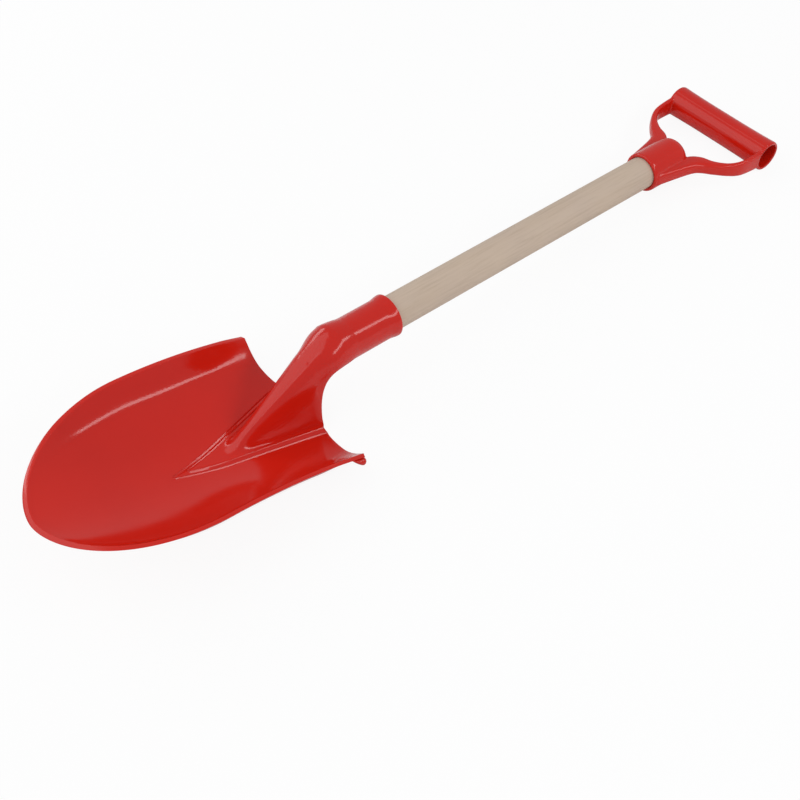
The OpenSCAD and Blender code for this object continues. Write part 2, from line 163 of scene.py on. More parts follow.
def turned(profile, name):
    """A solid of revolution about X, from (x, radius) points in order."""
    bm = bmesh.new()
    chain = [bm.verts.new((x, r, 0)) for x, r in profile]
    edges = [bm.edges.new(pair) for pair in zip(chain, chain[1:])]
    bmesh.ops.spin(
        bm, geom=chain + edges, cent=(0, 0, 0), axis=(1, 0, 0),
        angle=math.tau, steps=ROUND_STEPS, use_merge=True)
    return made(bm, name)


def rounding(x, r, radius, start, end, n=6):
    """Points of an arc about (x, r), between two angles in degrees."""
    turn = [math.radians(start + (end - start) * k / n) for k in range(n + 1)]
    return [(x + radius * math.cos(a), r + radius * math.sin(a)) for a in turn]


print("one step of a spin turns by", math.degrees(math.tau) / ROUND_STEPS, "degrees")

# %% [markdown]
# ## Materials from nodes
# Every finish is a Principled shader with a few noise patterns on the object's own coordinates. An
# image texture would need the pieces unwrapped, and a pattern in space doesn't. The helpers below
# add a node, set its fields and link it in one line.

# %% Helpers that wire nodes by name
def wire(tree, kind, at=(0, 0), inputs=None, **settings):
    """Adds a node, sets its fields, and sets or links its inputs."""
    node = tree.nodes.new(kind)
    node.location = at
    for key, value in settings.items():
        setattr(node, key, value)
    for key, value in (inputs or {}).items():
        if isinstance(value, bpy.types.NodeSocket):
            tree.links.new(value, node.inputs[key])
        else:
            node.inputs[key].default_value = value
    return node


def new_material(name):
    """A material with an empty Principled shader, its tree and its object coordinates."""
    material = bpy.data.materials.new(name)
    material.use_nodes = True
    tree = material.node_tree
    shader = tree.nodes["Principled BSDF"]
    place = wire(tree, "ShaderNodeTexCoord", (-1200, 0)).outputs["Object"]
    return material, tree, shader, place


def ramp(tree, fac, stops, at=(0, 0)):
    """A colour ramp over fac, from (position, colour) stops."""
    node = wire(tree, "ShaderNodeValToRGB", at, {"Fac": fac})
    points = node.color_ramp.elements
    while len(points) < len(stops):
        points.new(0.5)
    for point, (position, colour) in zip(points, stops):
        point.position = position
        point.color = (*colour, 1)
    return node.outputs["Color"]


def span(tree, fac, low, high, at=(0, 0)):
    """Maps fac from 0..1 to low..high."""
    node = wire(tree, "ShaderNodeMapRange", at, {"Value": fac, "To Min": low, "To Max": high})
    return node.outputs["Result"]


print("helpers: wire, new_material, ramp, span")

# %% [markdown]
# ## Moulded plastic
# The scoop and the grip are glossy polypropylene. Such a surface isn't perfectly even: the mould
# leaves it a little wavy, and handling dulls the gloss in places. The colour stays almost the same
# all over, so the life of this finish is in its roughness and its bump. Subsurface light could be
# added, but so deep a red lets hardly any through.

# %% The red of the mouldings
RED = (0.61, 0.013, 0.005)
RED_DEEP = (0.57, 0.011, 0.004)
GLOSS_BEST = 0.09
GLOSS_WORST = 0.18


def moulded_red():
    """Glossy plastic: a hardly varying red, a varying gloss and a faint waviness."""
    material, tree, shader, place = new_material("moulded_red")
    clouds = wire(tree, "ShaderNodeTexNoise", (-900, 300), {
        "Vector": place, "Scale": 14, "Detail": 3, "Roughness": 0.55})
    colour = ramp(tree, clouds.outputs["Fac"], [(0.35, RED_DEEP), (0.65, RED)], (-600, 300))
    haze = wire(tree, "ShaderNodeTexNoise", (-900, 0), {
        "Vector": place, "Scale": 55, "Detail": 2, "Roughness": 0.5})
    gloss = span(tree, haze.outputs["Fac"], GLOSS_BEST, GLOSS_WORST, (-600, 0))
    wavy = wire(tree, "ShaderNodeTexNoise", (-900, -300), {
        "Vector": place, "Scale": 260, "Detail": 2, "Roughness": 0.5})
    peel = wire(tree, "ShaderNodeBump", (-600, -300), {
        "Height": wavy.outputs["Fac"], "Strength": 0.03, "Distance": 0.0004})
    shader.inputs["IOR"].default_value = 1.44
    tree.links.new(colour, shader.inputs["Base Color"])
    tree.links.new(gloss, shader.inputs["Roughness"])
    tree.links.new(peel.outputs["Normal"], shader.inputs["Normal"])
    return material


red = moulded_red()
print("made", red.name)

# %% [markdown]
# ## The scoop
# The scoop is one thin-walled moulding. It could be sculpted, or cut out of a block, but then the
# reflections on its walls would waver. So its upper face is drawn as a height over the plan, by a
# few short formulas: a floor that ramps up to the tip, walls that meet it in a tight fillet, a
# raised V, and a ridge that grows out of it into the neck. A grid is then moved onto that face.
# The rows of the grid follow the round nose, and its columns crowd where the surface bends, so
# that reflections run clean along the walls.
#
# In these formulas s is the distance behind the tip, y the distance to either side of the middle,
# and every height counts from the line of the shaft, so most of them are negative. A size that ends
# in DROP says how far below that line something lies.

# %% Sizes of the scoop
TUBE_WALL = 0.0018
SOCKET_FIT = 0.0001
END_GAP = 0.001
SOCKET_FLOOR = 0.003
BORE_R = SHAFT_R + SOCKET_FIT
TUBE_R = BORE_R + TUBE_WALL
TUBE_L = BLADE_SOCKET_L + END_GAP + SOCKET_FLOOR
BLADE_L = 0.1755
BLADE_W = 0.121
NOSE_L = 0.084
WALL = 0.0022
NECK_L = 0.066
TIP_DROP = 0.0068
RIM_DROP = 0.0053
SHOULDER_DROP = 0.0255
FLOOR_DROP = 0.0395
RAMP_L = 0.115
WALL_ANGLE = 58
SHOULDER_ANGLE = 44
FILLET = 0.0035
SCALLOP = 0.0014
BACK_X = -NECK_L
TIP_X = BACK_X - BLADE_L + WALL
SHEET_L = BACK_X - TIP_X
SHEET_W = BLADE_W / 2 - WALL
LEAST = 1e-6
print("sheet", round(1000 * SHEET_L, 1), "mm long and", round(2000 * SHEET_W, 1), "mm wide")


# %% Small functions that blend and bend
def mix(a, b, t):
    """The value at share t of the way from a to b."""
    return a + (b - a) * t


def clamp01(t):
    """The value itself, held between 0 and 1."""
    return max(0.0, min(1.0, t))


def ease(t):
    """From 0 to 1, leaving and arriving gently."""
    t = clamp01(t)
    return t * t * (3 - 2 * t)


def soft(t, b):
    """A bend between a level run and a slope, rounded over b to each side."""
    if t <= -b:
        return 0.0
    return t if t >= b else (t + b) ** 2 / (4 * b)


print("ease goes", [round(ease(k / 4), 2) for k in range(5)])

# %% [markdown]
# In plan the nose is a blunt half oval and the sides run straight back from it. Seen from the side,
# the rim is highest about a third of the way back and falls to the tip and to the shoulders.
# Across, the floor is slightly dished, and the wall rises from it steeply, out of a fillet.

# %% The plan, the rim and the floor of the dish
NOSE_POWER = 1.75
RIM_PEAK = 0.355
RAMP_POWER = 1.5


def half_width(s):
    """Half the width of the plan."""
    t = clamp01(1 - s / NOSE_L)
    return max(LEAST, SHEET_W * (1 - t * t) ** (1 / NOSE_POWER))


def rim_s(y):
    """The distance behind the tip at which the nose is 2 y wide."""
    return NOSE_L * (1 - math.sqrt(max(0, 1 - abs(y / SHEET_W) ** NOSE_POWER)))


def rim_z(s):
    """The height of the rim: two parabolas that meet at the peak."""
    peak = RIM_PEAK * SHEET_L
    if s < peak:
        return -RIM_DROP - (TIP_DROP - RIM_DROP) * ((peak - s) / peak) ** 2
    return -RIM_DROP - (SHOULDER_DROP - RIM_DROP) * ((s - peak) / (SHEET_L - peak)) ** 2


def floor_z(s):
    """The height of the floor along its middle: level, and then a ramp up to the tip."""
    return -FLOOR_DROP + (FLOOR_DROP - TIP_DROP) * clamp01(1 - s / RAMP_L) ** RAMP_POWER


print("behind its ramp the dish is", round(1000 * (rim_z(RAMP_L) - floor_z(RAMP_L)), 1), "mm deep")

# %% [markdown]
# A wall is a straight slope, and `soft` rounds the bend where it leaves the floor. The tip has no
# room for one, so the section is a plain bowl there and changes along the nose.

# %% The walls of the dish
SHOULDER_SHARE = 0.17
WALL_SHARES = (0.125, 0.18)
FILLET_LIMIT = 0.8


def shoulder(s):
    """How far the wall has changed to its shape at the shoulder, from 0 to 1."""
    return ease((s / SHEET_L - 1) / SHOULDER_SHARE + 1)


def slope(s):
    """How steep the wall is."""
    return math.tan(math.radians(mix(WALL_ANGLE, SHOULDER_ANGLE, shoulder(s))))


def wall_w(s):
    """The width of the wall in plan."""
    return half_width(s) * mix(*WALL_SHARES, shoulder(s))


def knee_y(s):
    """Where the wall would meet the floor if there were no fillet."""
    return half_width(s) - wall_w(s)


def knee_h(s):
    """How far the floor has risen there above its middle."""
    return rim_z(s) - floor_z(s) - wall_w(s) * slope(s)


def fillet_w(s):
    """Half the width of the fillet in plan."""
    return min(FILLET * (1 + shoulder(s)), FILLET_LIMIT * wall_w(s))


def dish_z(s, y):
    """The height of the plain dish, which goes from a smooth bowl at the tip to walls behind."""
    curve = knee_h(s) * (y / knee_y(s)) ** 2
    wall = rim_z(s) - floor_z(s) - (half_width(s) - y) * slope(s)
    bend = max(LEAST, fillet_w(s) * (slope(s) - 2 * knee_h(s) / knee_y(s)))
    walled = curve + soft(wall - curve, bend)
    plain = (rim_z(s) - floor_z(s)) * (y / half_width(s)) ** 2
    return floor_z(s) + mix(plain, walled, ease(s / NOSE_L))


print("walls", round(1000 * wall_w(NOSE_L), 1), "mm wide at the end of the nose")

# %% [markdown]
# The V is a low ledge whose two arms run from the back edge to a point. It could be a bump in the
# material, but a bump is flat when it is seen from the side. The ledge's edges are only slightly
# rounded, so it gets its own columns and a rounding of under half a millimetre.

# %% The raised V
VEE_L = 0.091
VEE_ANGLE = math.radians(15.2)
VEE_K = math.tan(VEE_ANGLE)
VEE_COS = math.cos(VEE_ANGLE)
VEE_S = SHEET_L - VEE_L
LEDGE_H = 0.0014
LEDGE_W = 0.0033
LEDGE_SOFT = 0.00045
LEDGE_S = VEE_S + LEDGE_W / math.sin(math.atan(VEE_K))
FAN_SHARES = (0.4, 0.08)
TOP_SHARE = 0.7


def fan(s):
    """Where the columns of the V go ahead of its point: they fan out over the nose."""
    return mix(*FAN_SHARES, ease(s / VEE_S)) * half_width(s)


def foot_y(s):
    """Half the width of the V at the foot of its ledge."""
    return max(VEE_K * (s - VEE_S), fan(s))


def top_y(s):
    """Half the width of the V at the top of its ledge."""
    return max(VEE_K * (s - LEDGE_S), fan(s) * TOP_SHARE)


def ledge_z(s, y):
    """What the ledge adds: nothing outside the V, a short slope, and its full height inside."""
    inside = (VEE_K * (s - VEE_S) - y) * VEE_COS
    return LEDGE_H / LEDGE_W * (soft(inside, LEDGE_SOFT) - soft(inside - LEDGE_W, LEDGE_SOFT))


print("the V is", round(1000 * VEE_L, 1), "mm long and", round(1000 * LEDGE_H, 1), "mm high")

# %% [markdown]
# The ridge stands on the V: a low wave at first, which grows to a steep arch at the back edge, where
# a narrow level strip is left beside it. Its crown rises in one straight slope and bends over to the
# top of the neck.

# %% The ridge of the neck
RIDGE_L = 0.054
RIDGE_STEP = 0.0035
RIDGE_FOOT = 0.94
RIDGE_BEND = 0.003
ARCH_POWER = 3.3
ARCH_FOOT = 1.35
WAVE_POWER = 2
WAVE_FOOT = 1.7
NECK_LEAD = 0.0022
NECK_SWELL = 0.0017
NECK_TOP = TUBE_R + NECK_SWELL
CREST_LAG = 0.004
CREST_BEND = 0.006
BEND_X = -TUBE_L - CREST_LAG
CREST_SLOPE = (NECK_TOP + FLOOR_DROP - LEDGE_H) / (BEND_X - (BACK_X - RIDGE_L))


def crest_z(x):
    """The height of the ridge's and the neck's crown."""
    return NECK_TOP - soft(CREST_SLOPE * (BEND_X - x), CREST_BEND)


def grown(s):
    """How far the ridge has grown from a wave to an arch, from 0 to 1."""
    return ease((s - SHEET_L + RIDGE_L) / RIDGE_L)


def ridge_y(s):
    """Half the width of the ridge, which leaves a level strip beside it on the V."""
    return mix(RIDGE_FOOT * top_y(s), top_y(s) - RIDGE_STEP, grown(s))


def lead(s, y):
    """How far the face is drawn back towards the neck, so that the back edge meets it."""
    beside = (y - ridge_y(s)) / (top_y(s) - ridge_y(s))
    return NECK_LEAD * shoulder(s) * (1 - ease(beside))


def ridge_z(s, y):
    """What the ridge adds."""
    behind = s + lead(s, y)
    height = soft(crest_z(TIP_X + behind) - floor_z(behind) - LEDGE_H, RIDGE_BEND)
    across = min(1.0, y / ridge_y(s))
    arch = 1 - across ** mix(WAVE_POWER, ARCH_POWER, grown(s))
    return height * arch ** mix(WAVE_FOOT, ARCH_FOOT, grown(s))


def sheet_z(s, y):
    """The height of the whole upper face."""
    return dish_z(s, y) + ledge_z(s, y) + ridge_z(s, y)


print("the crown rises at", round(math.degrees(math.atan(CREST_SLOPE)), 1), "degrees")

# %% [markdown]
# An even grid would spend its faces on the plain floor and miss the tight edges. So each half of
# this grid has as many columns as the face needs: over the ridge, the strip beside it, the ledge
# with its two tight edges, the floor, the fillet and the wall. The rows start as the curve of the
# nose itself and straighten little by little, they crowd where the V comes to its point, and the
# last one follows the back edge.

# %% Rows and columns of the upper face
# Columns over the ridge, the strip, the ledge's top edge, slope and foot edge, floor, fillet, wall
SPAN_COUNTS = (18, 2, 4, 2, 4, 12, 14, 6)
ACROSS = sum(SPAN_COUNTS)
RIDGE_N = SPAN_COUNTS[0]
EDGE_HALF = 0.0006
FIRST_S = 0.012
POINT_L = 0.020
POINT_LEAD = 0.0015
NOSE_N = 34
POINT_N = 42
BODY_N = 40
SCALLOP_POWER = 0.7


def columns(s):
    """Where the columns of one half lie at s, from the middle to the rim."""
    bend = fillet_w(s)
    edge = EDGE_HALF
    marks = (
        0, ridge_y(s), top_y(s) - edge * (top_y(s) - ridge_y(s)) / RIDGE_STEP, top_y(s) + edge,
        foot_y(s) - edge, foot_y(s) + edge, knee_y(s) - bend, knee_y(s) + bend, half_width(s))
    inner = [
        mix(a, b, k / n)
        for a, b, n in zip(marks, marks[1:], SPAN_COUNTS)
        for k in range(n)
    ]
    return inner + [half_width(s)]


point_start = VEE_S - POINT_LEAD
point_end = VEE_S + POINT_L
row_marks = [mix(FIRST_S, point_start, i / NOSE_N) for i in range(NOSE_N)]
row_marks += [mix(point_start, point_end, i / POINT_N) for i in range(POINT_N)]
row_marks += [mix(point_end, SHEET_L, i / BODY_N) for i in range(BODY_N + 1)]
row_columns = [columns(s) for s in row_marks]
print(len(row_marks), "rows of", 2 * ACROSS + 1, "points")

# %% [markdown]
# Three things move a point along the shovel. The nose's rows bow forwards, so that the first one
# runs along the rim. The back edge is cut in a shallow scallop on either side of the ridge. And the
# end of the ridge is drawn back a little, to meet the neck.

# %% A point of the upper face
def scallop(s, y):
    """How far the back edge is cut in beside the ridge."""
    v = clamp01((y - foot_y(SHEET_L)) / (SHEET_W - foot_y(SHEET_L)))
    return SCALLOP * shoulder(s) * math.sin(math.pi * v ** SCALLOP_POWER)


def face_point(i, j):
    """The point of row i and column j; j counts from the middle, to either side."""
    r = row_marks[i]
    y = row_columns[i][abs(j)]
    front = rim_s(y / half_width(r) * half_width(FIRST_S)) / FIRST_S
    sag = FIRST_S * (1 - ease((r - FIRST_S) / (NOSE_L - FIRST_S)))
    s = r - sag * (1 - front)
    x = TIP_X + s - scallop(s, y) + lead(s, y)
    return Vector((x, math.copysign(y, j), sheet_z(s, y)))


print("tip at", round(1000 * face_point(0, 0).x, 1), "mm from the socket's mouth")

# %% [markdown]
# `create_grid` makes all the faces at once. A vertex's place in the plain grid tells its row and
# its column, and so the point that it moves to.


# %% Move a grid onto the upper face
def dish_face():
    """The upper face of the blade, and its last row of vertices in order."""
    bm = bmesh.new()
    rows = len(row_marks) - 1
    bmesh.ops.create_grid(bm, x_segments=rows, y_segments=2 * ACROSS, size=1)
    last = {}
    for v in bm.verts:
        i = round((v.co.x + 1) / 2 * rows)
        j = round(v.co.y * ACROSS)
        v.co = face_point(i, j)
        if i == rows and abs(j) <= RIDGE_N:
            last[j] = v
    print("dish", len(bm.faces), "faces,", len(last), "columns go on into the neck")
    return bm, [last[j] for j in sorted(last)]


# %% [markdown]
# The neck is open below: a saddle that starts as the arch of the back edge and closes down onto
# the round socket. Bridging the edge to the socket would leave one long, twisted row of faces, so
# the middle of the back edge is extruded row by row, and each new row is placed on its own section.
# The last few rows lap onto the socket's end and sink into it, for a clean join.

# %% Sections of the neck
EDGE_N = 27
EDGE_DROP = 0.3 * TUBE_R
NECK_X = BACK_X + NECK_LEAD
ARCH_W = ridge_y(SHEET_L)
ARCH_Z = sheet_z(SHEET_L, ARCH_W)
ARCH_H = crest_z(NECK_X) - ARCH_Z
# How far each lap lies past the bend of the crown, and its share of the whole sink
LAPS = ((0.003, 0.02), (0.006, 0.1), (0.009, 0.24), (0.012, 0.45), (0.015, 0.72), (0.018, 1))
LAP_SINK = NECK_SWELL + 0.25 * TUBE_WALL


def edge_z(x):
    """The height of the neck's lower edge, a quarter of an oval."""
    a = math.asin(clamp01((BEND_X - x) / (BEND_X - NECK_X)))
    return mix(-EDGE_DROP, ARCH_Z, 1 - math.cos(a))


def neck_point(x, j, crest, low, r, t):
    """A point of the neck's section at x, which goes from round at t = 0 to the arch at 1."""
    u = (abs(j) / RIDGE_N) ** ARCH_POWER
    h = (crest - low) * mix(u, 1 - (1 - u) ** ARCH_FOOT, t)
    rounded = math.sqrt(max(0, h * (2 * r - h)))
    arched = ARCH_W * (1 - (1 - min(1, h / ARCH_H)) ** (1 / ARCH_FOOT)) ** (1 / ARCH_POWER)
    return Vector((x, math.copysign(mix(rounded, arched, t), j), crest - h))


def neck_sections():
    """What neck_point needs at each row: over the open neck, and then over the socket's end."""
    for i in range(1, EDGE_N + 1):
        x = mix(BEND_X, NECK_X, math.cos(math.pi / 2 * i / EDGE_N))
        yield x, crest_z(x), edge_z(x), NECK_TOP, ease((BEND_X - x) / (BEND_X - NECK_X))
    for lap, sink in LAPS:
        drop = sink * LAP_SINK
        yield BEND_X + lap, NECK_TOP - drop, -EDGE_DROP, NECK_TOP - drop, 0


print("neck", round(1000 * (BEND_X - NECK_X), 1), "mm long")


# %% [markdown]
# An extrusion returns its vertices in no order, so each new one is found again through the edge
# that joins it to the old one.


# %% Extrude the neck from the back edge
def next_line(bm, line):
    """Extrudes a chain of vertices and returns the new chain in the same order."""
    edges = [bm.edges.get(pair) for pair in zip(line, line[1:])]
    made_now = bmesh.ops.extrude_edge_only(bm, edges=edges)["geom"]
    fresh = {v for v in made_now if isinstance(v, bmesh.types.BMVert)}
    return [next(e.other_vert(v) for e in v.link_edges if e.other_vert(v) in fresh) for v in line]


def add_neck(bm, line):
    """Extrudes the neck, section by section."""
    sections = list(neck_sections())
    for x, crest, low, r, t in sections:
        line = next_line(bm, line)
        for j, v in zip(range(-RIDGE_N, RIDGE_N + 1), line):
            v.co = neck_point(x, j, crest, low, r, t)
    print("neck", len(sections), "rows")


shell_bm, back_line = dish_face()
add_neck(shell_bm, back_line)

# %% [markdown]
# The wall is the same everywhere, so the lower face is a copy of the upper one, pushed down along
# its own normals. `solidify` does that too, but it leaves the rim square to the wall, and the real
# rim is cut level, so round the rim the copy runs on up the wall instead. Two boundary loops are
# left, which `bridge_loops` closes, and a bevel rounds the rim.

# %% Give the face its wall
RIM_CUT = 0.8
RIM_ROUND = 0.0008
RIM_SEGMENTS = 3


def below(v, on_rim):
    """The place of the lower face's copy of a vertex."""
    n = v.normal
    h = max(LEAST, math.hypot(n.x, n.y))
    up = Vector((-n.x * n.z / h, -n.y * n.z / h, h))
    cut = min(n.z / h, RIM_CUT) if on_rim else 0
    return v.co + WALL * (cut * up - n)


def boundary(faces):
    """The edges of these faces that belong to one face only."""
    return [e for f in faces for e in f.edges if e.is_boundary]


def add_wall(bm):
    """Copies the upper face to the lower one, closes the rim and rounds it."""
    bmesh.ops.recalc_face_normals(bm, faces=bm.faces)
    if sum(f.normal.z for f in bm.faces) < 0:
        bmesh.ops.reverse_faces(bm, faces=bm.faces)
    bm.normal_update()
    top_faces = bm.faces[:]
    # The rim is all of the boundary ahead of the back edge
    rim_end = BACK_X - SCALLOP - WALL / 2
    rim_side = SHEET_W - WALL / 2
    edge_verts = {v for e in boundary(top_faces) for v in e.verts}
    rim = {v for v in edge_verts if v.co.x < rim_end or abs(v.co.y) > rim_side}
    targets = [below(v, v in rim) for v in bm.verts]
    sources = bm.verts[:]
    copy = bmesh.ops.duplicate(bm, geom=bm.verts[:] + bm.edges[:] + bm.faces[:])
    for v, target in zip(sources, targets):
        copy["vert_map"][v].co = target
    low_faces = [g for g in copy["geom"] if isinstance(g, bmesh.types.BMFace)]
    bmesh.ops.reverse_faces(bm, faces=low_faces)
    edges = list({*boundary(top_faces), *boundary(low_faces)})
    bmesh.ops.bridge_loops(bm, edges=edges)
    bmesh.ops.bevel(
        bm, geom=edges, offset=RIM_ROUND, segments=RIM_SEGMENTS, profile=0.5,
        affect="EDGES", material=-1, clamp_overlap=True)


add_wall(shell_bm)
scoop = made(shell_bm, "scoop_shell")
print("shell", len(scoop.data.polygons), "faces")

# %% [markdown]
# The socket is a turned solid that flares out at its mouth and has a closed end. The bore for the
# dowel is drilled into it last of all, so that nothing joined later can stand in the bore. A drill
# starts a little outside the solid, because two faces that lie in one plane spoil a boolean.

# %% The socket of the scoop
FLARE_H = 0.0009
FLARE_L = 0.007
FLARE_N = 12
LIP_R = 0.0008
LIP_TURN = 75
OVER = 0.001


def blade_socket():
    """The socket before it is drilled, with its flared mouth at X = 0."""
    steps = [k / FLARE_N for k in range(FLARE_N + 1)]
    flare = [(-LIP_R - FLARE_L * (1 - t), TUBE_R + FLARE_H * ease(t)) for t in steps]
    lip = rounding(-LIP_R, TUBE_R + FLARE_H - LIP_R, LIP_R, LIP_TURN, 0)
    return turned([(-TUBE_L, 0), (-TUBE_L, TUBE_R), *flare, *lip, (0, 0)], "blade_socket")


def dowel_bore(start, length):
    """The drill for the dowel."""
    end = start + length
    return turned([(start, 0), (start, BORE_R), (end, BORE_R), (end, 0)], "bore")


print("socket", round(2000 * (TUBE_R + FLARE_H), 1), "mm across its mouth")

# %% [markdown]
# An open neck would bend, so such mouldings have a rib under it, from the socket's closed end to
# where the ridge is low. It could be a scaled cube, but it has to follow the curve of the crown, so
# it is one flat face, a little over half as deep as the neck, extruded to its thickness.

# %% The rib under the neck
RIB_T = 0.0024
RIB_N = 24
RIB_REACH = 0.6
RIB_DEPTH = 0.55


def foot_z(x):
    """How low the sides of the neck reach."""
    if x < NECK_X:
        return floor_z(x - TIP_X)
    return edge_z(x) if x < BEND_X else -EDGE_DROP


def neck_rib():
    """A web that follows the crown of the neck."""
    bm = bmesh.new()
    start = BACK_X - RIB_REACH * RIDGE_L
    xs = [mix(start, OVER - TUBE_L, k / RIB_N) for k in range(RIB_N + 1)]
    top = [bm.verts.new((x, -RIB_T / 2, crest_z(x) - WALL / 2)) for x in xs]
    lows = [mix(crest_z(x) - WALL, foot_z(x), RIB_DEPTH) for x in xs]
    low = [bm.verts.new((x, -RIB_T / 2, z)) for x, z in zip(xs, lows)]
    web = bm.faces.new(top + low[::-1])
    extruded = bmesh.ops.extrude_face_region(bm, geom=[web])["geom"]
    moved = [v for v in extruded if isinstance(v, bmesh.types.BMVert)]
    bmesh.ops.translate(bm, verts=moved, vec=(0, RIB_T, 0))
    return made(bm, "neck_rib")


print("rib", round(1000 * RIB_T, 1), "mm thick")

# %% [markdown]
# On the real moulding both edges of the V show a thin bright line, on the far arm as well as on
# the near one. A plain edge can't do that, so each carries a fine bead with two flat sides: on
# either arm, one of them mirrors the strip lamp to the eye. Finer columns in the height formula
# would cross each other at the V's point, so a bead is a piece of its own, a four-sided section
# that is extruded from the back edge round the point, and joined to the shell.

# %% The beads of the V
BEAD_TURN = 0.0011
BEAD_GAP = 0.0095
BEAD_UP = 0.0006
BEAD_HALF = 0.0009
BEAD_INNER = 0.80
BEAD_OUTER = 1.0
BEAD_DEEP = 1.6
BEAD_STEPS = 48
BEAD_TURN_STEPS = 14
BEAD_ROUNDS = 4
BEAD_END = 0.0008
# The crest, the inner foot, the root inside the wall and the outer foot, in half widths
BEAD_SECTION = ((0, 0), (1, -BEAD_INNER), (0, -BEAD_DEEP), (-1, -BEAD_OUTER))


def bead_plan(point, back_y):
    """The line of a bead in plan, as (s, y), from the near end round the point to the far end."""
    half = VEE_ANGLE
    # Where the arms would cross depends on their angle, and the reverse, so a few rounds settle both
    for _ in range(BEAD_ROUNDS):
        start = point + BEAD_TURN - BEAD_TURN / math.sin(half)
        half = math.atan2(back_y, SHEET_L - start)
    turn = math.degrees(half)
    arc = rounding(point + BEAD_TURN, 0, BEAD_TURN, 270 - turn, 90 + turn, BEAD_TURN_STEPS)
    arm = [mix(SHEET_L - BEAD_END, arc[0][0], k / BEAD_STEPS) for k in range(BEAD_STEPS)]
    near = [(s, -math.tan(half) * (s - start)) for s in arm]
    return near + arc + [(s, -y) for s, y in near[::-1]]


def vee_bead(point, back_y):
    """A bead that rounds the given point and meets the back edge at back_y."""
    plan = bead_plan(point, back_y)
    line = [Vector((TIP_X + s, y, sheet_z(s, abs(y)) + BEAD_UP)) for s, y in plan]
    bm = bmesh.new()
    ring = bmesh.ops.create_circle(bm, cap_ends=True, segments=4, radius=1)["verts"]
    for i, tip in enumerate(line):
        if i:
            ring = next_line(bm, [*ring, ring[0]])[:-1]
        run = line[min(i + 1, len(line) - 1)] - line[max(i - 1, 0)]
        inward = Vector((run.y, -run.x, 0)).normalized()
        for v, (a, b) in zip(ring, BEAD_SECTION):
            v.co = tip + BEAD_HALF * (a * inward + b * Vector((0, 0, 1)))
    bmesh.ops.contextual_create(bm, geom=ring)
    return made(bm, "vee_bead")


beads = [vee_bead(VEE_S, foot_y(SHEET_L)), vee_bead(VEE_S + BEAD_GAP, top_y(SHEET_L))]
print("beads of", [len(bead.data.polygons) for bead in beads], "faces")

# %% [markdown]
# Each shoulder ends in a small rolled corner, which leaves no sharp point. A bevel there would only
# cut the corner back. So it is a ball under the corner, and its front half is drawn out along the
# end of the rim until it vanishes in the wall.

# %% The rolled corners
ROLL_R = 0.0026
ROLL_SHARES = (-1, 0.7, -1.35)
BALL_SIDES = 32
BALL_RINGS = 20
DRAW_POWER = 2
TAIL_ROWS = 6
TAIL_SHARE = 0.4


def rolled_corner(turn):
    """A teardrop along the end of the rim: a ball that is drawn out forwards to a point."""
    bm = bmesh.new()
    bmesh.ops.create_uvsphere(bm, u_segments=BALL_SIDES, v_segments=BALL_RINGS, radius=ROLL_R)
    corner = face_point(len(row_marks) - 1, ACROSS * turn)
    tail = face_point(len(row_marks) - 1 - TAIL_ROWS, ACROSS * turn)
    back, out, down = ROLL_SHARES
    ball = corner + Vector((back * ROLL_R, turn * out * ROLL_R, down * ROLL_R))
    end = tail + Vector((0, turn * TAIL_SHARE * WALL, -TAIL_SHARE * WALL))
    for v in bm.verts:
        drawn = clamp01(-v.co.x / ROLL_R) ** DRAW_POWER
        v.co = (ball + v.co).lerp(end, drawn)
    return made(bm, "rolled_corner")


corners = [rolled_corner(1), rolled_corner(-1)]
print("rolled corners", round(2000 * ROLL_R, 1), "mm thick")

# %% [markdown]
# Everything is joined first, and only then is the bore drilled, so it stays a true cylinder.

# %% Join the scoop
combine(scoop, [blade_socket(), neck_rib(), *corners, *beads], "UNION")
bore_l = BLADE_SOCKET_L + END_GAP
combine(scoop, [dowel_bore(-bore_l, bore_l + OVER)], "DIFFERENCE")
finish_piece(scoop, "moulded_scoop", red, "blade")

# %% [markdown]
# ## The shaft
# A plain dowel of pale, closely grained wood, sanded and left bare. Its fibres run along it, so the
# coordinates of the finish are first turned level with the dowel and then squeezed along it, which
# draws every speck of a noise out into a streak. A wave texture could draw rings, but a sanded
# dowel of such wood shows none, only fine streaks, broader bands and a few greyish patches.

# %% The dowel's wood
PALE = (0.575, 0.45, 0.345)
HONEY = (0.505, 0.38, 0.27)
GREYISH = (0.54, 0.425, 0.347)
STREAK_TINT = (0.80, 0.78, 0.74)
FIBRE_SQUEEZE = 0.05
NAP_ROUGH = 0.72
SANDED_ROUGH = 0.55


